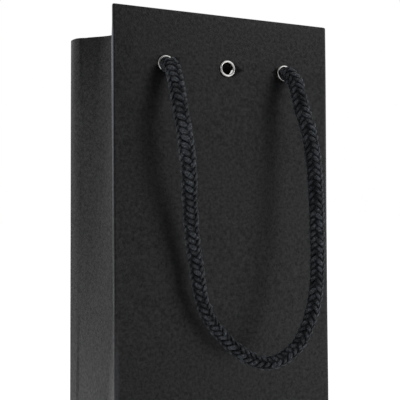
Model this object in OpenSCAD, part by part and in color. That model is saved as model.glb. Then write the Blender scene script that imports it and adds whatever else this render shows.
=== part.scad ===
// Wine gift bag: a block-bottom card bag for one bottle, with two braided cord handles that
// pass through metal eyelets and are knotted inside. Millimetres, +Z up, front face towards -Y,
// origin in the middle of the base. Each handle swings about the bends just outside its eyelets.

/* [Bag] */
// Width of the front panel
width = 120; // [110:1:140]
// Depth of the base
base_depth = 100; // [92:1:120]
// Height of the mouth above the base
height = 360; // [330:1:400]
// How far each wall leans inwards at the mouth
lean_in = 6.5; // [2:0.5:9]
// How far the side creases are drawn in at the mouth
crease_in = 21; // [8:1:21]
// Height of the flat triangular foot of each gusset
foot_height = 50; // [40:1:60]

/* [Paper and board] */
// Thickness of the card sheet
paper = 0.4; // [0.3:0.05:0.5]
// Height of the edge turned in at the mouth
turn_in = 45; // [35:1:55]
// Thickness of the cards behind the eyelets
card = 0.8; // [0.6:0.1:1]
// Thickness of the loose card in the base
base_board = 1.2; // [0.8:0.1:2]
// Width of the glued seam flap
seam = 15; // [10:1:20]

/* [Eyelets] */
// Height of the eyelet centres below the mouth
eyelet_drop = 27; // [24:1:30]
// Distance from the middle eyelet to each outer one
eyelet_pitch = 33.5; // [30:0.5:36]
// Outer radius of an eyelet's ring
ring_r = 4.3; // [4.1:0.1:5]
// Radius of an eyelet's hole
bore_r = 3; // [2.9:0.05:3.1]
// Height of an eyelet's ring above the card
ring_h = 0.7; // [0.5:0.1:1]

/* [Handles] */
// Diameter of the cord
cord_d = 6.6; // [6:0.1:7]
// Diameter of the cord where an eyelet squeezes it
squeezed_d = 5.6; // [5:0.1:5.7]
// Radius of the knot inside the bag
knot_r = 7; // [6:0.5:7.5]
// Length of the cord's tail below the knot
tail = 16; // [12:1:18]

/* [Hidden] */
SIDES = ["front", "back"];
PLACES = ["left", "middle", "right"];
ENDS = ["left", "right"];

gap = 0.1;                          // clearance between sheets that only lie beside each other
seat = 0.02;                        // clearance of a metal face on the card
lean = atan(lean_in / height);
eyelet_z = height - eyelet_drop;
half_w = width / 2;
half_d = base_depth / 2;
stack = 2 * paper + card;           // front wall at the eyelets: sheet, eyelet card, turned-in edge
washer_t = 0.3;
barrel_t = 0.4;                     // wall of an eyelet's barrel
curl_h = 0.5;                       // height of the rolled end of the barrel
inside_h = -stack - washer_t - 2 * seat;
hole_r = bore_r + barrel_t + gap;
knot_l = 6;                         // half length of a knot
wall_end = half_w - 1.8;            // half width of the layers inside a wall
flap_overlap = 12;                  // how far each long bottom flap passes the middle
sides = 10;                         // sides of a cord's tube

PAPER = [0.16, 0.16, 0.17];
BOARD = [0.55, 0.53, 0.50];
METAL = [0.72, 0.73, 0.75];
CORD = [0.10, 0.11, 0.13];

// A handle's route in three stretches, as [x, out from the wall, below the eyelet]. Both ends start
// alike; the loop is twisted, so its left side hangs near the wall and its right side stands off it.
START = [
    [33.5, -3, 0], [33.5, 0, 0], [33.5, 4, 0.5], [33.5, 7.5, 2], [33.5, 10.5, 5],
    [33.5, 12.5, 9], [33.5, 14.5, 14]];
LEFT_SIDE = [
    [-33.8, 17.5, 20], [-33.4, 21, 30], [-32.3, 23, 42], [-30.9, 22.8, 54], [-29.4, 20, 65],
    [-27.5, 17, 76], [-25.5, 15, 88], [-23.2, 14.1, 100], [-20.9, 13.7, 113], [-17.4, 14.2, 123],
    [-11.9, 15.6, 131], [-5.4, 18.2, 138.4], [1.8, 20.6, 143.9]];
BOTTOM = [9.8, 22.5, 146.6];
RIGHT_SIDE = [
    [34, 16.2, 20], [35.5, 19.8, 31], [36.2, 22.8, 43], [36.5, 24.8, 57], [36.5, 25.9, 70],
    [36.2, 27.2, 84], [35.2, 29, 98], [33.6, 30.3, 110], [31.2, 30.7, 121], [27.6, 30, 131],
    [24.3, 28.2, 138], [20.3, 26, 142.6], [15.6, 24, 145.6]];
PIVOT = 3;                          // route point that the handle swings about, at a cord end's tip
LOOP = 5;                           // route point where the swinging loop starts

// Depth of the wall's outer face at a height, measured from the middle of the bag.
function wall_y(z) = half_d - lean_in * z / height;
// Place in the bag's frame of a point of the route.
function in_bag(p) = [p[0], -wall_y(eyelet_z) - p[1], eyelet_z - p[2]];
function unit(v) = v / norm(v);
// Direction of the route at one of its points.
function heading(p, i) = unit(p[min(i + 1, len(p) - 1)] - p[max(i - 1, 0)]);
// Ring of points round the route; the reference direction is never along a handle.
function ring(centre, along, r) =
    let (u = unit(cross(along, [0, 1, -1])), v = cross(along, u))
    [for (k = [0:sides - 1])
        centre + r * (cos(360 * k / sides) * u + sin(360 * k / sides) * v)];

function reversed(v) = [for (i = [len(v) - 1:-1:0]) v[i]];

// Whole route from the left knot to the right one.
WHOLE = [for (p = concat([for (p = START) [-p[0], p[1], p[2]]], LEFT_SIDE, [BOTTOM],
    reversed(RIGHT_SIDE), reversed(START))) in_bag(p)];

// Tube along the whole route from one of its points on, with a radius at each point that it takes.
module tube(from, radii) {
    n = len(radii) - 1;
    points = [for (i = [0:n]) each ring(WHOLE[from + i], heading(WHOLE, from + i), radii[i])];
    walls = [for (i = [0:n - 1], k = [0:sides - 1])
        let (a = i * sides, b = a + sides, q = (k + 1) % sides)
        each [[a + k, b + k, b + q], [a + k, b + q, a + q]]];
    polyhedron(points, concat(walls,
        [[for (k = [0:sides - 1]) k]],
        [[for (k = [sides - 1:-1:0]) n * sides + k]]));
}

// The second of a pair: the back is the front mirrored.
module on(side) {
    mirror([0, side == "back" ? 1 : 0, 0]) children();
}

module at_end(end) {
    mirror([end == "right" ? 1 : 0, 0, 0]) children();
}

// Frame of an eyelet in the front wall: +Z points out of the bag, square to the wall.
module at_eyelet(x) {
    translate([x, -wall_y(eyelet_z), eyelet_z]) rotate([90 - lean, 0, 0]) children();
}

function place_x(place) = (search([place], PLACES)[0] - 1) * eyelet_pitch;

module eyelet_holes() {
    for (place = PLACES)
        at_eyelet(place_x(place))
            translate([0, 0, -stack - 1]) cylinder(r = hole_r, h = stack + 2, $fn = 48);
}

// Flat layer of the front wall between two depths under its outer face and two heights.
module wall_layer(d0, d1, z0, z1, x0, x1) {
    translate([x0, 0, 0]) rotate([90, 0, 90]) linear_extrude(x1 - x0)
        polygon([[d0 - wall_y(z0), z0], [d1 - wall_y(z0), z0],
                 [d1 - wall_y(z1), z1], [d0 - wall_y(z1), z1]]);
}

module panel(side) {
    color(PAPER) on(side) difference() {
        wall_layer(0, paper, 0, height, -half_w, half_w);
        eyelet_holes();
    }
}

// Edge of the sheet, folded over the mouth and down behind the eyelet card.
module wall_turn_in(side) {
    color(PAPER) on(side) difference() {
        union() {
            wall_layer(paper + card, stack, height - turn_in, height, -wall_end, wall_end);
            wall_layer(paper, stack, height - paper, height, -wall_end, wall_end);
        }
        eyelet_holes();
    }
}

module eyelet_card(side) {
    color(BOARD) on(side) difference() {
        wall_layer(paper, paper + card, height - turn_in + 2, height - paper - gap,
                   1 - wall_end, wall_end - 1);
        eyelet_holes();
    }
}

// Sheet made of flat facets on the left gusset, thickened towards the middle of the bag.
module gusset_sheet(points, facets, outline, depth) {
    n = len(points);
    outer = [for (p = points) p + [depth, 0, 0]];
    inner = [for (p = points) p + [depth + paper, 0, 0]];
    polyhedron(concat(outer, inner), concat(
        facets,
        [for (f = facets) [for (k = [len(f) - 1:-1:0]) f[k] + n]],
        [for (k = [0:len(outline) - 1])
            let (a = outline[k], b = outline[(k + 1) % len(outline)]) [b, a, a + n, b + n]]));
}

function edge_y(z) = wall_y(z) - paper - gap;   // where a gusset meets a wall
apex = [-half_w, 0, foot_height];
crease_top = [-half_w + crease_in, 0, height];
// Point on the line from one point to another at a given height.
function at_height(a, b, z) = a + (b - a) * (z - a[2]) / (b[2] - a[2]);

// Rear half of the left gusset: a flat strip beside the wall and a facet drawn in to the crease.
module gusset_half(end, half) {
    color(PAPER) at_end(end) mirror([0, half == "front_half" ? 1 : 0, 0])
        gusset_sheet(
            [[-half_w, edge_y(0), 0], [-half_w, edge_y(height), height], crease_top, apex],
            [[1, 0, 3], [2, 1, 3]], [1, 0, 3, 2], 0);
}

module gusset_foot(end) {
    color(PAPER) at_end(end)
        gusset_sheet([[-half_w, -edge_y(0), 0], [-half_w, edge_y(0), 0], apex],
                     [[0, 2, 1]], [0, 2, 1], 0);
}

// Edge of the sheet turned in behind both halves of a gusset.
module gusset_turn_in(end) {
    low = height - turn_in;
    top_y = wall_y(height) - stack - gap;
    start = [-half_w + crease_in * (1 - top_y / edge_y(height)), top_y, height];
    bend = at_height(apex, [-half_w, edge_y(height), height], low);
    color(PAPER) at_end(end) for (m = [0, 1]) mirror([0, m, 0])
        gusset_sheet(
            [start, crease_top, at_height(apex, crease_top, low), bend],
            [[0, 3, 1], [1, 3, 2]], [0, 3, 2, 1], paper);
}

// Strip that closes the sheet into a tube, glued inside the back wall.
module seam_flap() {
    color(PAPER) on("back")
        wall_layer(paper, 2 * paper, 4, height - turn_in - 2, 1 - half_w, 1 - half_w + seam);
}

module long_bottom_flap(side) {
    outer = side == "back";
    x = half_w - paper - gap;
    y = edge_y(0) - gap;
    color(PAPER) on(side)
        translate([-x, -y, outer ? 0 : paper]) cube([2 * x, y + flap_overlap, paper]);
}

module short_bottom_flap(end) {
    x = half_w - paper - gap;
    y = edge_y(0) - 0.5;
    reach = y - 3.5;
    color(PAPER) at_end(end) translate([0, 0, 2 * paper]) linear_extrude(paper)
        polygon([[-x, -y], [reach - x, reach - y], [reach - x, y - reach], [-x, y]]);
}

module base_card() {
    x = half_w - 1.5;
    y = half_d - 1.5;
    color(BOARD) translate([-x, -y, 3 * paper]) cube([2 * x, 2 * y, base_board]);
}

// Half an ellipse in an eyelet's section from one radius to another, bulging by a rise.
function half_round(r0, r1, h, rise) =
    let (m = (r0 + r1) / 2, w = (r0 - r1) / 2)
    [for (a = [0:15:180]) [m + w * cos(a), h + rise * sin(a)]];

// Ring, barrel and rolled end of an eyelet, turned from one outline.
module eyelet(side, place) {
    color(METAL) on(side) at_eyelet(place_x(place)) rotate_extrude($fn = 48)
        polygon(concat(
            half_round(ring_r, bore_r, seat, ring_h),
            half_round(bore_r, ring_r - 0.3, inside_h, -curl_h),
            [[bore_r + barrel_t, inside_h], [bore_r + barrel_t, seat]]));
}

module washer(side, place) {
    color(METAL) on(side) at_eyelet(place_x(place))
        translate([0, 0, -stack - seat - washer_t]) difference() {
            cylinder(r = ring_r, h = washer_t, $fn = 48);
            translate([0, 0, -1])
                cylinder(r = bore_r + barrel_t + gap / 2, h = washer_t + 2, $fn = 48);
        }
}

// Knot as a rounded bulb, flat where the cord leaves it, with the cord's tail below it.
module knot(side, end) {
    flat = knot_l - 0.6;
    steepest = asin(flat / knot_l);
    color(CORD) on(side) translate(WHOLE[end == "left" ? 0 : len(WHOLE) - 1] + [0, flat, 0]) {
        rotate([90, 0, 0]) rotate_extrude($fn = 32)
            polygon(concat([for (k = [0:16])
                let (a = -90 + k * (90 + steepest) / 16) [knot_r * cos(a), knot_l * sin(a)]],
                [[0, flat]]));
        translate([0, 0, -tail]) cylinder(d = cord_d, h = tail, $fn = 24);
    }
}

// Stretch of one end of a cord, from a route point on, with its radius at each point.
module stretch(side, end, i, radii) {
    left = end == "left";
    color(CORD) on(side)
        tube(left ? i : len(WHOLE) - i - len(radii), left ? radii : reversed(radii));
}

// Fixed end of a cord, from its knot through its eyelet, which squeezes it, to the bend.
module cord_end(side, end) {
    stretch(side, end, 0, [squeezed_d, squeezed_d, cord_d, cord_d] / 2);
}

// Short length of cord that flexes as the handle swings.
module cord_bend(side, end) {
    stretch(side, end, PIVOT, [for (i = [PIVOT:LOOP]) cord_d / 2]);
}

// The swinging loop of a handle, between its two bends.
module handle_cord(side) {
    color(CORD) on(side) tube(LOOP, [for (i = [LOOP:len(WHOLE) - 1 - LOOP]) cord_d / 2]);
}

for (side = SIDES) {
    panel(side);
    wall_turn_in(side);
    eyelet_card(side);
    long_bottom_flap(side);
    handle_cord(side);
    for (place = PLACES) {
        eyelet(side, place);
        washer(side, place);
    }
    for (end = ENDS) {
        knot(side, end);
        cord_end(side, end);
        cord_bend(side, end);
    }
}
for (end = ENDS) {
    for (half = ["front_half", "rear_half"])
        gusset_half(end, half);
    gusset_foot(end);
    gusset_turn_in(end);
    short_bottom_flap(end);
}
seam_flap();
base_card();
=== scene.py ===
"""Looks of the wine gift bag: one folded card sheet, nickel eyelets and braided cord handles.

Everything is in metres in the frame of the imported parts. The camera and the cords come first.
"""
import math

import bmesh
import bpy
import numpy as np
from mathutils import Matrix, Vector, noise


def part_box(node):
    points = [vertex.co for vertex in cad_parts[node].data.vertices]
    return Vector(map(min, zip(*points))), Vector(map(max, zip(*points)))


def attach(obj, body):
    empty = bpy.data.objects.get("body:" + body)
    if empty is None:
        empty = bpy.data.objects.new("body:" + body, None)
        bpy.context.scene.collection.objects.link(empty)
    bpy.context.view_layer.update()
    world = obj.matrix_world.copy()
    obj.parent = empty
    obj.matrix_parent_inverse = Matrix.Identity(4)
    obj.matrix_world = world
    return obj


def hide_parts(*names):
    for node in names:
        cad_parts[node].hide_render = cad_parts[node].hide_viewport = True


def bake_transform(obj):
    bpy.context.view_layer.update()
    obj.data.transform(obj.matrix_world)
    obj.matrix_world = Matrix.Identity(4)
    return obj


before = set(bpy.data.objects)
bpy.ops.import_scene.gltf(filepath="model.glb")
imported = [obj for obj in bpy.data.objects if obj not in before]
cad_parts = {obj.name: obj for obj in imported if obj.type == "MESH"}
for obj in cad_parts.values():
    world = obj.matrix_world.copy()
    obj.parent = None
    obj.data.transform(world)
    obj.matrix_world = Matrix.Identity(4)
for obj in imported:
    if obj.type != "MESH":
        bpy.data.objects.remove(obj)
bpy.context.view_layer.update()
MM = 0.001

# ---- Sizes read from the frame -------------------------------------------------------------
PAPER = 0.4 * MM
panel_low, panel_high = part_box("front_panel")
HALF_W, HEIGHT, HALF_D = panel_high[0], panel_high[2], -panel_low[1]
LEAN_IN = HALF_D + panel_high[1] - PAPER
CREASE_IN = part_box("left_gusset_rear_half")[1][0] + HALF_W - PAPER
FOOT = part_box("left_gusset_foot")[1][2]
TURN_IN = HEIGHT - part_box("front_turn_in")[0][2]
STACK = 1.6 * MM                    # wall at the eyelets: sheet, card and turned-in edge
ring_low, ring_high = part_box("front_middle_eyelet")
RING_R = (ring_high[0] - ring_low[0]) / 2
EYELET_Z = HEIGHT - 27 * MM
LEAN = math.atan(LEAN_IN / HEIGHT)
PLACES = {"left": -1, "middle": 0, "right": 1}
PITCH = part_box("front_right_washer")[0][0] + RING_R
SIDES = {"front": -1, "back": 1}
CORD_D = 6.6 * MM                   # on average; handle_swell says where it is more or less


def wall_y(z):
    """Depth of a wall's outer face from the middle of the bag at a height."""
    return HALF_D - LEAN_IN * z / HEIGHT


# ---- Camera and light ----------------------------------------------------------------------
VIEW_YAW, VIEW_PITCH, VIEW_DISTANCE, LENS = 23.8, 0.44, 0.343, 61.65
DIM_FRONT = 0.09                    # how bright the room is in front of the bag; it is 1 behind
VIEW_TARGET = Vector((-15.8 * MM, 0.1 * MM - wall_y(266 * MM), 266 * MM))
# Lamps as name, place, what it shines at, size, power and colour. The window is where the front
# wall mirrors the viewer's line of sight, so the handle shows in the card as a dark band.
LAMPS = [
    ("key_light", (0.39, -0.68, 0.77), (0, -0.05, 0.25), 0.50, 0.7, (1.0, 0.99, 0.98)),
    ("window", (0.47, -1.15, 0.41), (0, -0.05, 0.27), 0.60, 0.60, (0.98, 0.99, 1.0)),
    ("side_light", (0.80, -0.42, 0.25), (0, -0.05, 0.22), 0.30, 0.8, (0.96, 0.98, 1.0)),
    ("left_fill", (-1.0, -0.06, 0.45), (-0.05, 0, 0.28), 0.50, 0.45, (0.97, 0.98, 1.0))]


def make_camera():
    """The photograph's view, from the left of the front wall and nearly level."""
    data = bpy.data.cameras.new("camera")
    data.sensor_width, data.lens = 36, LENS
    data.clip_start = 0.01
    camera = bpy.data.objects.new("camera", data)
    bpy.context.scene.collection.objects.link(camera)
    yaw, pitch = math.radians(VIEW_YAW), math.radians(VIEW_PITCH)
    ahead = Vector((math.sin(yaw) * math.cos(pitch), math.cos(yaw) * math.cos(pitch), -math.sin(pitch)))
    camera.location = VIEW_TARGET - VIEW_DISTANCE * ahead
    camera.rotation_euler = (math.pi / 2 - pitch, 0, -yaw)
    bpy.context.scene.camera = camera


def add_area(name, place, aim, size, power, colour):
    """A round lamp at a place that shines at another."""
    data = bpy.data.lights.new(name, "AREA")
    data.shape, data.size, data.energy, data.color = "DISK", size, power, colour
    light = bpy.data.objects.new(name, data)
    light.location = place
    light.rotation_euler = (Vector(aim) - Vector(place)).to_track_quat("-Z", "Y").to_euler()
    bpy.context.scene.collection.objects.link(light)


def faded(tree, source, low, high, dim, bright):
    """A brightness that rises softly from dim to bright as a coordinate goes from low to high."""
    fade = tree.nodes.new("ShaderNodeMapRange")
    fade.interpolation_type = "SMOOTHSTEP"
    for name, value in (("From Min", low), ("From Max", high), ("To Min", dim), ("To Max", bright)):
        fade.inputs[name].default_value = value
    tree.links.new(source, fade.inputs["Value"])
    return fade.outputs["Result"]


def brighter(tree, first, second):
    """The greater of two brightnesses."""
    node = tree.nodes.new("ShaderNodeMath")
    node.operation = "MAXIMUM"
    tree.links.new(first, node.inputs[0])
    tree.links.new(second, node.inputs[1])
    return node.outputs[0]


def make_light():
    """A white room behind the bag and at its right, dim where the viewer stands."""
    world = bpy.data.worlds.new("studio")
    world.use_nodes = True
    tree = world.node_tree
    place = tree.nodes.new("ShaderNodeTexCoord")
    split = tree.nodes.new("ShaderNodeSeparateXYZ")
    tree.links.new(place.outputs["Generated"], split.inputs["Vector"])
    behind = faded(tree, split.outputs["Y"], -0.75, 0.35, DIM_FRONT, 1.0)
    right = faded(tree, split.outputs["X"], 0.10, 0.75, DIM_FRONT, 0.65)
    tree.links.new(brighter(tree, behind, right), tree.nodes["Background"].inputs["Color"])
    bpy.context.scene.world = world
    bpy.context.scene.view_settings.view_transform = "Standard"
    for lamp in LAMPS:
        add_area(*lamp)


# ---- Materials -----------------------------------------------------------------------------
def new_material(name, colour, roughness, specular=0.5, metallic=0.0):
    """A Principled material, with its node tree and shader, ready for more nodes."""
    material = bpy.data.materials.new(name)
    material.use_nodes = True
    tree = material.node_tree
    shader = tree.nodes["Principled BSDF"]
    shader.inputs["Base Color"].default_value = (*colour, 1)
    shader.inputs["Roughness"].default_value = roughness
    shader.inputs["Specular IOR Level"].default_value = specular
    shader.inputs["Metallic"].default_value = metallic
    return material, tree, shader


def add_node(tree, kind, **values):
    """A node with its inputs set by name."""
    node = tree.nodes.new(kind)
    for name, value in values.items():
        node.inputs[name.replace("_", " ")].default_value = value
    return node


def noise_on(tree, scale, detail=4.0, roughness=0.6, stretch=(1, 1, 1)):
    """Noise over the object's own coordinates, in cells per metre."""
    place = add_node(tree, "ShaderNodeTexCoord")
    mapping = add_node(tree, "ShaderNodeMapping", Scale=stretch)
    cells = add_node(tree, "ShaderNodeTexNoise", Scale=scale, Detail=detail, Roughness=roughness)
    tree.links.new(place.outputs["Object"], mapping.inputs["Vector"])
    tree.links.new(mapping.outputs["Vector"], cells.inputs["Vector"])
    return cells.outputs["Fac"]


def ramp(tree, source, stops):
    """Colour ramp from (place, colour) stops."""
    node = tree.nodes.new("ShaderNodeValToRGB")
    elements = node.color_ramp.elements
    while len(elements) < len(stops):
        elements.new(0.5)
    for element, (place, colour) in zip(elements, stops):
        element.position = place
        element.color = (*colour, 1)
    tree.links.new(source, node.inputs["Fac"])
    return node.outputs["Color"]


def add_bump(tree, shader, heights):
    """Bumps laid one over another, from (height, strength, distance)."""
    previous = None
    for height, strength, distance in heights:
        bump = add_node(tree, "ShaderNodeBump", Strength=strength, Distance=distance)
        tree.links.new(height, bump.inputs["Height"])
        if previous is not None:
            tree.links.new(previous.outputs["Normal"], bump.inputs["Normal"])
        previous = bump
    tree.links.new(previous.outputs["Normal"], shader.inputs["Normal"])


def mix_by(tree, factor, low, high):
    """Colour mixed from two sources by a factor."""
    mix = tree.nodes.new("ShaderNodeMix")
    mix.data_type = "RGBA"
    tree.links.new(factor, mix.inputs["Factor"])
    for source, socket in ((low, "A"), (high, "B")):
        place = next(s for s in mix.inputs if s.name == socket and s.type == "RGBA")
        if isinstance(source, tuple):
            place.default_value = (*source, 1)
        else:
            tree.links.new(source, place)
    return next(s for s in mix.outputs if s.type == "RGBA")


def multiplied(tree, first, second):
    """Two colours multiplied."""
    node = tree.nodes.new("ShaderNodeVectorMath")
    node.operation = "MULTIPLY"
    tree.links.new(first, node.inputs[0])
    tree.links.new(second, node.inputs[1])
    return node.outputs["Vector"]


def card_paper():
    """Black card with a faint gloss: cloudy pulp, fine grain, and folds painted lighter, partly as rubbed
    wear and partly as a painted highlight.
    """
    material, tree, shader = new_material("black_card", (0.009, 0.009, 0.010), 0.35, 0.26)
    clouds = ramp(tree, noise_on(tree, 55, 5),
                  [(0.3, (0.0072, 0.0073, 0.0084)), (0.75, (0.0100, 0.0102, 0.0114))])
    pulp = ramp(tree, noise_on(tree, 950, 3, 0.7), [(0.3, (0.62,) * 3), (0.7, (1.38,) * 3)])
    clouds = multiplied(tree, clouds, pulp)
    worn_and_lit = add_node(tree, "ShaderNodeAttribute")
    worn_and_lit.attribute_name = "wear_and_highlight"
    # The folds' lighter colour is partly rubbed wear and partly a painted highlight where they catch the
    # light.
    colour = mix_by(tree, worn_and_lit.outputs["Fac"], clouds, (0.21, 0.22, 0.245))
    tree.links.new(colour, shader.inputs["Base Color"])
    sheen = ramp(tree, noise_on(tree, 900, 3), [(0.3, (0.30,) * 3), (0.7, (0.40,) * 3)])
    tree.links.new(sheen, shader.inputs["Roughness"])
    gloss = ramp(tree, noise_on(tree, 620, 4, 0.75), [(0.32, (0.12,) * 3), (0.68, (0.40,) * 3)])
    tree.links.new(gloss, shader.inputs["Specular IOR Level"])
    add_bump(tree, shader, [
        (noise_on(tree, 5200, 3, 0.7), 0.35, 0.00006),
        (noise_on(tree, 1100, 2, 0.6), 0.45, 0.00022),
        (noise_on(tree, 700, 4, 0.5, (1, 1, 0.35)), 0.12, 0.0003)])
    return material


def greyboard():
    """Uncoated grey board with flecks of fibre."""
    material, tree, shader = new_material("greyboard", (0.26, 0.25, 0.23), 0.85, 0.25)
    flecks = ramp(tree, noise_on(tree, 1500, 6, 0.75, (1, 0.3, 1)),
                  [(0.30, (0.16, 0.155, 0.14)), (0.52, (0.27, 0.26, 0.24)), (0.75, (0.36, 0.35, 0.32))])
    tree.links.new(flecks, shader.inputs["Base Color"])
    add_bump(tree, shader, [(noise_on(tree, 2500, 4), 0.4, 0.0001)])
    return material


def nickel():
    """Bright nickel plate with faint rolling marks."""
    material, tree, shader = new_material("nickel_plate", (0.66, 0.65, 0.63), 0.16, 0.5, 1.0)
    marks = ramp(tree, noise_on(tree, 1800, 4), [(0.3, (0.10,) * 3), (0.75, (0.24,) * 3)])
    tree.links.new(marks, shader.inputs["Roughness"])
    add_bump(tree, shader, [(noise_on(tree, 900, 2), 0.08, 0.0001)])
    return material


def cotton(name, colour, light):
    """Cotton yarn: fine threads twisted along each strand, with a soft sheen, painted shade in the grooves
    between strands and a painted highlight on their crowns.
    """
    material, tree, shader = new_material(name, colour, 0.9, 0.2)
    shader.inputs["Sheen Weight"].default_value = 0.12
    shader.inputs["Sheen Roughness"].default_value = 0.45
    shader.inputs["Sheen Tint"].default_value = (0.82, 0.90, 1.0, 1)
    place = add_node(tree, "ShaderNodeUVMap")
    twist = add_node(tree, "ShaderNodeMapping", Scale=(5.0, 900.0, 1.0))
    threads = tree.nodes.new("ShaderNodeTexWave")
    threads.bands_direction = "DIAGONAL"
    threads.inputs["Scale"].default_value = 1.0
    threads.inputs["Distortion"].default_value = 2.0
    threads.inputs["Detail"].default_value = 2.0
    tree.links.new(place.outputs["UV"], twist.inputs["Vector"])
    tree.links.new(twist.outputs["Vector"], threads.inputs["Vector"])
    height = add_node(tree, "ShaderNodeAttribute")
    height.attribute_name = "painted_strand_shading"
    # Painted shade and highlight: dark in the grooves between strands and at the core, the light colour on
    # the strands' crowns.
    painted_groove_shade = tuple(0.25 * c for c in colour)
    painted_strand_shading = ramp(tree, height.outputs["Fac"], [(0.72, painted_groove_shade), (0.86, colour), (0.99, light)])
    patches = ramp(tree, noise_on(tree, 1500, 3, 0.7),
                   [(0.32, (0.15,) * 3), (0.50, (0.75,) * 3), (0.68, (2.3,) * 3)])
    fine = ramp(tree, threads.outputs["Fac"], [(0.2, (0.55,) * 3), (0.8, (1.25,) * 3)])
    shade = multiplied(tree, multiplied(tree, painted_strand_shading, patches), fine)
    tree.links.new(shade, shader.inputs["Base Color"])
    add_bump(tree, shader, [
        (threads.outputs["Fac"], 0.5, 0.00012),
        (noise_on(tree, 4500, 3), 0.35, 0.0001)])
    return material


# ---- Mesh helpers --------------------------------------------------------------------------
def new_piece(name, points, faces, material, uvs=None):
    """A smooth-shaded piece from points and faces, with uvs by point where it has them."""
    mesh = bpy.data.meshes.new(name)
    mesh.from_pydata([tuple(p) for p in points], [], [tuple(f) for f in faces])
    if uvs is not None:
        corners = np.empty(len(mesh.loops), np.int32)
        mesh.loops.foreach_get("vertex_index", corners)
        layer = mesh.uv_layers.new(name="along")
        layer.data.foreach_set("uv", np.asarray(uvs, np.float32)[corners].ravel())
    mesh.polygons.foreach_set("use_smooth", [True] * len(mesh.polygons))
    mesh.materials.append(material)
    piece = bpy.data.objects.new(name, mesh)
    bpy.context.scene.collection.objects.link(piece)
    return piece


def grid_faces(rows, columns, closed):
    """Quads between rows of points; closed joins each row's last point to its first."""
    last = columns if closed else columns - 1
    return [(r * columns + c, r * columns + (c + 1) % columns,
             (r + 1) * columns + (c + 1) % columns, (r + 1) * columns + c)
            for r in range(rows - 1) for c in range(last)]


def applied(piece):
    """The piece with its modifiers worked into its mesh."""
    seen = piece.evaluated_get(bpy.context.evaluated_depsgraph_get())
    mesh = bpy.data.meshes.new_from_object(seen)
    piece.modifiers.clear()
    piece.data = mesh
    return piece


# ---- Cords ---------------------------------------------------------------------------------
# A handle's route in millimetres, as (x, out from the wall, below the eyelet). Both ends start
# alike; the loop is twisted, so its left side hangs near the wall and its right side stands off it.
START = [(33.5, -3, 0), (33.5, -0.5, 0), (33.5, 2, 0.7), (33.5, 4.5, 1.6), (33.5, 7.5, 3.2),
         (33.5, 10.3, 6), (33.5, 12.4, 9.6), (33.5, 14.5, 14)]
LEFT_SIDE = [(-33.8, 17.5, 20), (-33.4, 21, 30), (-32.3, 23, 42), (-30.9, 22.8, 54),
             (-29.4, 20, 65), (-27.5, 17, 76), (-25.5, 15, 88), (-23.2, 14.1, 100),
             (-20.9, 13.7, 113), (-17.4, 14.2, 123), (-11.9, 15.6, 131), (-5.4, 18.2, 138.4),
             (1.8, 20.6, 143.9)]
BOTTOM = (9.8, 22.5, 146.6)
RIGHT_SIDE = [(34, 16.2, 20), (35.5, 19.8, 31), (36.2, 22.8, 43), (36.5, 24.8, 57),
              (36.5, 25.9, 70), (36.2, 27.2, 84), (35.2, 29, 98), (33.6, 30.3, 110),
              (31.2, 30.7, 121), (27.6, 30, 131), (24.3, 28.2, 138), (20.3, 26, 142.6),
              (15.6, 24, 145.6)]
STRANDS = 6                         # strands that wind each way
BRAID_PITCH = 19.2 * MM             # length of one turn of a strand
STRAND_W, STRAND_T = 1.75 * MM, 1.30 * MM
WEAVE = 0.60 * MM                   # how far a strand rises and falls as it crosses others
FIBRES = 2.0                        # loose fibres for each ring's length of cord
STEP = 0.75 * MM                    # length between the rings of a strand


def smooth_line(points, step):
    """Points at even steps along a smooth curve through the given ones."""
    p = np.asarray(points, float)
    p = np.vstack([2 * p[0] - p[1], p, 2 * p[-1] - p[-2]])
    fine = []
    for a, b, c, d in zip(p[:-3], p[1:-2], p[2:-1], p[3:]):
        for t in np.linspace(0, 1, 24, endpoint=False):
            fine.append(0.5 * (2 * b + (c - a) * t + (2 * a - 5 * b + 4 * c - d) * t * t
                               + (3 * b - a - 3 * c + d) * t ** 3))
    fine = np.array(fine + [p[-2]])
    along = np.concatenate([[0], np.cumsum(np.linalg.norm(np.diff(fine, axis=0), axis=1))])
    at = np.linspace(0, along[-1], max(2, round(along[-1] / step) + 1))
    return np.stack([np.interp(at, along, fine[:, k]) for k in range(3)], axis=1)


def frames_along(line):
    """Unit vectors along, across and up at each point, carried along the line without twist."""
    along = np.gradient(line, axis=0)
    along /= np.linalg.norm(along, axis=1)[:, None]
    across = np.empty_like(line)
    start = np.cross(along[0], [0.3, 0.2, 1.0])
    across[0] = start / np.linalg.norm(start)
    for i in range(1, len(line)):
        carried = across[i - 1] - along[i] * (across[i - 1] @ along[i])
        across[i] = carried / np.linalg.norm(carried)
    return along, across, np.cross(along, across)


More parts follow.
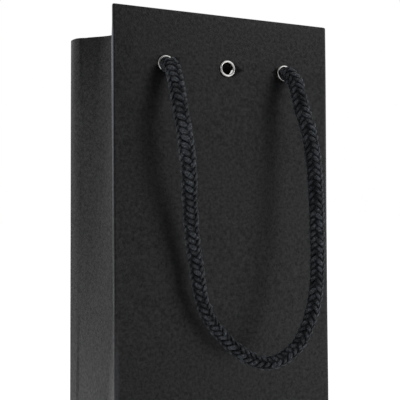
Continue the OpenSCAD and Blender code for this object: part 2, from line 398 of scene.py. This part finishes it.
def strand_rings(line, across, up, swell, turn, number):
    """Rings of points along one strand, which winds with turn = 1 or against with turn = -1."""
    s = np.arange(len(line)) * STEP
    spin = 2 * math.pi * s / BRAID_PITCH
    angle = 2 * math.pi * number / STRANDS + turn * spin
    rise = WEAVE * np.cos(math.pi * number + turn * STRANDS * spin / 2 - math.pi / 4) * turn
    own = 7.3 * number + 3.1 * turn
    uneven = np.array([noise.noise(Vector((420 * v, own, 0.5))) for v in s])
    drift = np.array([noise.noise(Vector((260 * v, own, 9.5))) for v in s])
    sag = 1 + 0.30 * uneven
    angle = angle + 0.22 * drift
    middle = (CORD_D / 2 - STRAND_T / 2 - WEAVE + 0.22 * MM * uneven + rise) * swell
    out = np.cos(angle)[:, None] * across + np.sin(angle)[:, None] * up
    centre = line + middle[:, None] * out
    ahead = np.gradient(centre, axis=0)
    ahead /= np.linalg.norm(ahead, axis=1)[:, None]
    out -= ahead * (out * ahead).sum(1)[:, None]
    out /= np.linalg.norm(out, axis=1)[:, None]
    side = np.cross(out, ahead)
    corners = np.arange(8) * math.pi / 4
    wide = (STRAND_W / 2 * swell * sag)[:, None, None] * np.cos(corners)[None, :, None]
    thick = (STRAND_T / 2 * swell * sag)[:, None, None] * np.sin(corners)[None, :, None]
    return centre[:, None] + wide * side[:, None] + thick * out[:, None], s


def merged_tubes(tubes):
    """Points, faces, uvs and painted strand shading of closed tubes given as (rings of points, place along,
    crown height that sets the painted shade and highlight).
    """
    points, faces, uvs, painted_strand_shadings = [], [], [], []
    for rings, s, painted_strand_shading in tubes:
        first, (count, sides) = len(points), rings.shape[:2]
        points.extend(rings.reshape(-1, 3))
        painted_strand_shadings.extend(np.broadcast_to(painted_strand_shading, (count, sides)).ravel())
        uvs.extend((k / sides, v) for v in s for k in range(sides))
        faces.extend(tuple(first + i for i in f) for f in grid_faces(count, sides, True))
        last = first + (count - 1) * sides
        faces.append(tuple(first + k for k in range(sides - 1, -1, -1)))
        faces.append(tuple(last + k for k in range(sides)))
    return points, faces, uvs, painted_strand_shadings


def loose_fibres(line, across, up, swell, seed):
    """Short curved hairs that stand off a cord, as thin three-sided tubes."""
    chance = np.random.default_rng(seed)
    tubes = []
    for _ in range(int(len(line) * FIBRES)):
        i = chance.integers(1, len(line) - 1)
        a = chance.uniform(0, 2 * math.pi)
        out = math.cos(a) * across[i] + math.sin(a) * up[i]
        lean = chance.normal(0, 1.0, 3)
        root = line[i] + out * 0.86 * CORD_D / 2 * swell[i]
        size = chance.uniform(0.6, 1.5) * MM
        tip = root + size * (0.55 * out + 0.5 * lean / np.linalg.norm(lean))
        middle = (root + tip) / 2 + size * 0.18 * chance.normal(0, 1, 3)
        side = np.cross(tip - root, out + 0.01)
        side /= np.linalg.norm(side)
        other = np.cross(side, (tip - root) / np.linalg.norm(tip - root))
        rim = [0.028 * MM * (math.cos(b) * side + math.sin(b) * other) for b in (0, 2.094, 4.189)]
        rings = np.array([[p + r for r in rim] for p in (root, middle, tip)])
        tubes.append((rings, np.zeros(3), 0.93))
    return tubes


def braid(name, line, swell, material):
    """A braided cord of two sets of strands that pass over two and under two, round a core."""
    along, across, up = frames_along(line)
    reach = (CORD_D / 2 * swell)[:, None]
    tubes = []
    for turn in (1, -1):
        for number in range(STRANDS):
            rings, s = strand_rings(line, across, up, swell, turn, number)
            tubes.append((rings, s, np.linalg.norm(rings - line[:, None], axis=2) / reach))
    corners = np.arange(10) * math.pi / 5
    core_r = (CORD_D / 2 - STRAND_T - WEAVE) * swell
    spokes = np.cos(corners)[None, :, None] * across[:, None] + np.sin(corners)[None, :, None] * up[:, None]
    # The core is painted with the grooves' shade.
    tubes.append((line[:, None] + core_r[:, None, None] * spokes, s, 0.4))
    tubes += loose_fibres(line, across, up, swell, 5)
    points, faces, uvs, painted_strand_shadings = merged_tubes(tubes)
    piece = new_piece(name, points, faces, material, uvs)
    layer = piece.data.attributes.new("painted_strand_shading", "FLOAT", "POINT")
    layer.data.foreach_set("value", np.asarray(painted_strand_shadings, np.float32))
    return piece


def in_bag(side, x, out, down):
    """Place given by distance from the middle, out from the wall and below the eyelets."""
    return (x, SIDES[side] * (wall_y(EYELET_Z) + out), EYELET_Z - down)


def handle_swell(line, side):
    """Thickness along a handle: squeezed in the eyelets, full outside them, finer round the loop."""
    out = SIDES[side] * line[:, 1] - wall_y(EYELET_Z)
    down = EYELET_Z - line[:, 2]
    squeezed = np.clip((out - 0.2 * MM) / (2.4 * MM), 0, 1)
    squeezed = squeezed * squeezed * (3 - 2 * squeezed)
    full = 0.85 + 0.43 * squeezed
    return full - 0.22 * np.clip((down - 12 * MM) / (125 * MM), 0, 1) ** 1.4


KNOT_SCALE = 3.6 * MM
KNOT_DEPTH = 8.4 * MM               # from the wall's outer face in to a knot's middle
KNOT_SWELL = 0.80                   # how far a knot pulled tight thins the cord


def make_knot(side, end, material):
    """An overhand knot inside the wall, with a short tail that hangs below it."""
    way = -1 if end == "left" else 1
    turns = np.linspace(0.62, 5.66, 26)
    loop = np.stack([np.sin(turns) + 2 * np.sin(2 * turns), -np.sin(3 * turns) * 1.15,
                     np.cos(turns) - 2 * np.cos(2 * turns)], axis=1) * KNOT_SCALE * 0.52
    entry = [(0, 5.2 * MM, 0.2 * MM), (0, 3.4 * MM, 0.6 * MM)]
    tail = [(1.2 * MM, -1.0 * MM, -9 * MM), (0.6 * MM, -0.4 * MM, -13 * MM), (0, 0, -16.4 * MM)]
    local = np.vstack([entry, loop, tail])
    x0, y0, z0 = in_bag(side, way * PITCH, -KNOT_DEPTH, 0)
    line = np.array([(x0 + way * x, y0 + SIDES[side] * y, z0 + z) for x, y, z in local])
    line = smooth_line(line, STEP)
    knot = braid(f"{side}_{end}_cord_knot", line, np.full(len(line), KNOT_SWELL), material)
    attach(knot, "bag")
    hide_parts(f"{side}_{end}_knot")
    return knot


def make_handle(side, material):
    """One handle's braid from knot to knot, with its knots."""
    start = [(-x, out, down) for x, out, down in START]
    route = [*start, *LEFT_SIDE, BOTTOM, *reversed(RIGHT_SIDE), *reversed(START)]
    whole = [in_bag(side, x * MM, out * MM, down * MM) for x, out, down in route]
    line = smooth_line(whole, STEP)
    cord = braid(f"{side}_handle_braid", line, handle_swell(line, side), material)
    knots = [make_knot(side, end, material) for end in ("left", "right")]
    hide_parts(f"{side}_handle_cord", *[
        f"{side}_{end}_{part}" for end in ("left", "right") for part in ("cord_end", "cord_bend")])
    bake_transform(cord)
    return cord


# ---- The folded card sheet -----------------------------------------------------------------
EDGE_POINTS = {"wall": 26, "gusset": 8}   # points along each straight stretch of the outline
BEND_POINTS = 5                           # points round each of its folds


def crease_depth(z):
    """How far a gusset's middle crease is drawn in: nothing at the foot, most at the mouth."""
    rise = min(max((z - FOOT) / (HEIGHT - FOOT), 0), 1)
    return CREASE_IN * (1 - (1 - rise) ** 2.5)


# Bends of a gusset from front to back: share of the depth, how far in at the mouth (as a share of
# the crease's depth) and the softness of the bend. Lower down they lie on a straight crease.
GUSSET_BENDS = [(-0.92, 0.03, 1.5 * MM), (-0.49, 0.86, 8 * MM), (0, 0.98, 7 * MM),
                (0.49, 0.93, 8 * MM), (0.86, 0.055, 3 * MM)]
FLARE = 0.45 * MM                   # how far the corners stand out past the base's
BULGE = 0.45 * MM                   # how far the front left fold stands out more, below the mouth
GUSSET_GAP = 3.2 * PAPER            # depth of the turned-in edge in a gusset, at its sheet's middle
HOLE_R = 3.45 * MM                  # radius of the sheet's holes, inside the eyelets
SLACK = 0.35 * MM                   # size of the card's slow waves
FAINT_WEAR_AND_HIGHLIGHT = 0.12                   # how much the other folds are painted lighter, as wear and a painted highlight, next to the front left one
BELOW_MOUTH = 0.975 * HEIGHT        # where the front left fold's bulge and its painted wear and highlight start


def outline_corners(z, wall_depth, gusset_depth):
    """Corners of the sheet's outline at a height, as (x, y, rounding), from the front left one on."""
    y, crease = wall_y(z) - wall_depth, crease_depth(z)
    x = HALF_W - gusset_depth + FLARE * min(1, z / (100 * MM))
    mouth = max(0.0, (z - 0.45 * HEIGHT) / (0.55 * HEIGHT)) ** 1.6
    bends = [(x - crease * ((1 - abs(share)) * (1 - mouth) + inward * mouth), share * y, soft)
             for share, inward, soft in GUSSET_BENDS]
    left = [(-far, deep, soft) for far, deep, soft in reversed(bends)]
    bulge = BULGE * min(1, max(0, (BELOW_MOUTH - z) / (8 * MM)))
    front_left = [(-x - bulge, -y + 1.1 * MM, 0.4 * MM), (-x + 0.1 * MM, -y, 0.35 * MM)]
    return [*front_left, (x, -y, 1.6 * MM), *bends, (x, y, 1.2 * MM), (-x, y, 0.6 * MM), *left]


def outline(z, wall_depth, gusset_depth):
    """Closed outline with soft folds and the same number of points at every height."""
    corners = outline_corners(z, wall_depth, gusset_depth)
    points = []
    for i, (x, y, rounding) in enumerate(corners):
        here = np.array([x, y])
        back = np.array(corners[i - 1][:2]) - here
        on = np.array(corners[(i + 1) % len(corners)][:2]) - here
        enter = here + back / np.linalg.norm(back) * rounding
        leave = here + on / np.linalg.norm(on) * rounding
        for t in np.linspace(0, 1, BEND_POINTS):
            points.append((1 - t) ** 2 * enter + 2 * t * (1 - t) * here + t * t * leave)
        after = corners[(i + 1) % len(corners)]
        stop = here + on * (1 - after[2] / np.linalg.norm(on))
        count = EDGE_POINTS["wall" if abs(on[0]) > HALF_W else "gusset"]
        for turn in np.linspace(0, math.pi, count)[1:-1]:
            points.append(leave + (stop - leave) * (1 - math.cos(turn)) / 2)
    return np.array(points)


def sheet_rows():
    """The sheet's rows from the base up, over the mouth and down inside: height and depths."""
    middle, wall_in, gusset_in = PAPER / 2, STACK - PAPER / 2, GUSSET_GAP
    fold = (wall_in - middle) / 2
    top = HEIGHT - middle - fold
    rows = [(z, middle, middle) for z in np.linspace(0, top, 82)]
    for a in np.linspace(0, math.pi, 8)[1:]:
        share = (1 - math.cos(a)) / 2
        rows.append((top + fold * math.sin(a), middle + (wall_in - middle) * share,
                     middle + (gusset_in - middle) * share))
    rows += [(z, wall_in, gusset_in) for z in np.linspace(top, HEIGHT - TURN_IN, 12)[1:]]
    return rows


def slack(points, z):
    """Slow waves of the card, none at the base, as a small shift of an outline's points."""
    size = SLACK * min(1, z / (60 * MM))
    shifted = []
    for x, y in points:
        wave = noise.noise(Vector((x * 14, y * 14, z * 9)))
        wave += 0.5 * noise.noise(Vector((x * 31, y * 31, z * 22)))
        on_wall = abs(y) > 0.8 * wall_y(z)
        out = np.array([0, math.copysign(1, y)]) if on_wall else np.array([math.copysign(1, x), 0])
        shifted.append((x, y) + out * wave * size)
    return np.array(shifted)


def eyelet_matrix(side, place):
    """Frame of an eyelet: +Z out of the bag, square to the wall."""
    turn = math.pi / 2 - LEAN if side == "front" else -(math.pi / 2 - LEAN)
    where = Matrix.Translation((PLACES[place] * PITCH, SIDES[side] * wall_y(EYELET_Z), EYELET_Z))
    return where @ Matrix.Rotation(turn, 4, "X")


def hole_cutter():
    """Six short rods where the sheet's eyelet holes go."""
    cutter = bmesh.new()
    for side in SIDES:
        for place in PLACES:
            rod = bmesh.ops.create_cone(cutter, cap_ends=True, segments=40, radius1=HOLE_R,
                                        radius2=HOLE_R, depth=8 * MM)
            bmesh.ops.transform(cutter, matrix=eyelet_matrix(side, place), verts=rod["verts"])
    mesh = bpy.data.meshes.new("holes")
    cutter.to_mesh(mesh)
    cutter.free()
    piece = bpy.data.objects.new("holes", mesh)
    bpy.context.scene.collection.objects.link(piece)
    return piece


def paint_wear_and_highlight(piece):
    """Marks each point by how much the fold that it lies on is painted lighter, most at the front left and
    more higher up: partly rubbed wear, partly a painted highlight where the fold catches the light.
    """
    worn_and_lit = []
    for v in piece.data.vertices:
        x, y, z = v.co
        to_corner = math.hypot(abs(x) - (HALF_W + FLARE), abs(y) - wall_y(z))
        fold = max(0, min(1, 2.4 - to_corner / (0.8 * MM)))
        rubbed_and_lit = FAINT_WEAR_AND_HIGHLIGHT
        if x < 0 and y < 0:
            rubbed_and_lit = min(1, max(0, (y + wall_y(z)) / (0.30 * MM)))
            rubbed_and_lit *= min(1, max(FAINT_WEAR_AND_HIGHLIGHT, (BELOW_MOUTH - z) / (5 * MM)))
        # Painted highlight: the folds are made lighter higher up, where they catch more light.
        highlight_higher_up = 0.18 + 0.82 * min(1, max(0, (z - 0.55 * HEIGHT) / (0.42 * HEIGHT))) ** 1.5
        patchy = 0.8 + 0.3 * noise.noise(Vector((x * 40, y * 40, z * 60)))
        mouth = 0.08 * max(0, 1 - (HEIGHT - z) / (0.5 * MM))
        worn_and_lit.append(min(1, max(fold * rubbed_and_lit * highlight_higher_up, mouth) * patchy))
    layer = piece.data.attributes.new("wear_and_highlight", "FLOAT", "POINT")
    layer.data.foreach_set("value", worn_and_lit)


def make_sheet(material):
    """The bag's card as one folded sheet with its eyelet holes."""
    rows = sheet_rows()
    rings = [slack(outline(z, a, b), z) for z, a, b in rows]
    columns = len(rings[0])
    points = [(x, y, z) for ring, (z, _, _) in zip(rings, rows) for x, y in ring]
    piece = new_piece("folded_card_sheet", points, grid_faces(len(rows), columns, True), material)
    solid = piece.modifiers.new("thickness", "SOLIDIFY")
    solid.thickness, solid.offset = PAPER, 0
    applied(piece)
    cutter = hole_cutter()
    cut = piece.modifiers.new("holes", "BOOLEAN")
    cut.operation, cut.object, cut.solver = "DIFFERENCE", cutter, "EXACT"
    applied(piece)
    bpy.data.objects.remove(cutter)
    paint_wear_and_highlight(piece)
    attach(piece, "bag")
    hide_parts("front_panel", "back_panel", "front_turn_in", "back_turn_in", *[
        f"{end}_gusset_{part}" for end in ("left", "right")
        for part in ("front_half", "rear_half", "foot", "turn_in")])


# ---- Eyelets -------------------------------------------------------------------------------
BORE_R = 3.0 * MM                   # radius of an eyelet's opening


def turned(name, outline_points, matrix, material, segments=72):
    """A ring turned about +Z from a closed outline of (radius, height)."""
    points = []
    for k in range(segments):
        a = 2 * math.pi * k / segments
        points += [matrix @ Vector((r * math.cos(a), r * math.sin(a), h)) for r, h in outline_points]
    count = len(outline_points)
    faces = [(k * count + i, ((k + 1) % segments) * count + i,
              ((k + 1) % segments) * count + (i + 1) % count, k * count + (i + 1) % count)
             for k in range(segments) for i in range(count)]
    return new_piece(name, points, faces, material)


def half_round(r0, r1, h, rise, steps=10):
    """Half a round bead from one radius to another, as (radius, height)."""
    middle, half = (r0 + r1) / 2, (r0 - r1) / 2
    return [(middle + half * math.cos(math.pi * k / steps), h + rise * math.sin(math.pi * k / steps))
            for k in range(steps + 1)]


def make_eyelet(side, place, material):
    """A rolled ring on the wall's outer face with a barrel through it and a curl inside."""
    inside = -STACK - 0.34 * MM
    barrel = BORE_R + 0.4 * MM
    profile = half_round(RING_R, BORE_R, 0.02 * MM, 0.7 * MM)
    profile += half_round(BORE_R, RING_R - 0.3 * MM, inside, -0.5 * MM)
    profile += [(barrel, inside), (barrel, 0.02 * MM)]
    ring = turned(f"{side}_{place}_ring", profile, eyelet_matrix(side, place), material)
    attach(ring, "bag")
    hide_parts(f"{side}_{place}_eyelet")


# ---- Stage ---------------------------------------------------------------------------------
def make_stage():
    """A white floor that glows behind the bag and at its right, where the room is bright."""
    material, tree, shader = new_material("stage_white", (0.75, 0.75, 0.75), 0.9, 0.1)
    place = tree.nodes.new("ShaderNodeNewGeometry")
    split = tree.nodes.new("ShaderNodeSeparateXYZ")
    tree.links.new(place.outputs["Position"], split.inputs["Vector"])
    behind = faded(tree, split.outputs["Y"], -0.1, 0.3, 0.0, 0.60)
    right = faded(tree, split.outputs["X"], 0.0, 0.5, 0.0, 0.60)
    tree.links.new(brighter(tree, behind, right), shader.inputs["Emission Color"])
    shader.inputs["Emission Strength"].default_value = 1.0
    floor = new_piece("floor", [(-6, -6, 0), (6, -6, 0), (6, 6, 0), (-6, 6, 0)], [(0, 1, 2, 3)], material)
    floor.location.z = -0.05 * MM


def finish_cad_nodes(paper, board, metal):
    """Gives the parts that keep their CAD shape their materials."""
    for name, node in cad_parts.items():
        if "washer" in name:
            finish = metal
        elif "card" in name:
            finish = board
        else:
            finish = paper
        node.data.materials.clear()
        node.data.materials.append(finish)


make_camera()
make_light()
paper, board, metal = card_paper(), greyboard(), nickel()
# The second colour is the painted highlight on the strands' crowns.
yarn = cotton("braided_cotton", (0.012, 0.0135, 0.0160), (0.066, 0.073, 0.083))
finish_cad_nodes(paper, board, metal)
for side in SIDES:
    make_handle(side, yarn)
make_sheet(paper)
for side in SIDES:
    for place in PLACES:
        make_eyelet(side, place, metal)
make_stage()
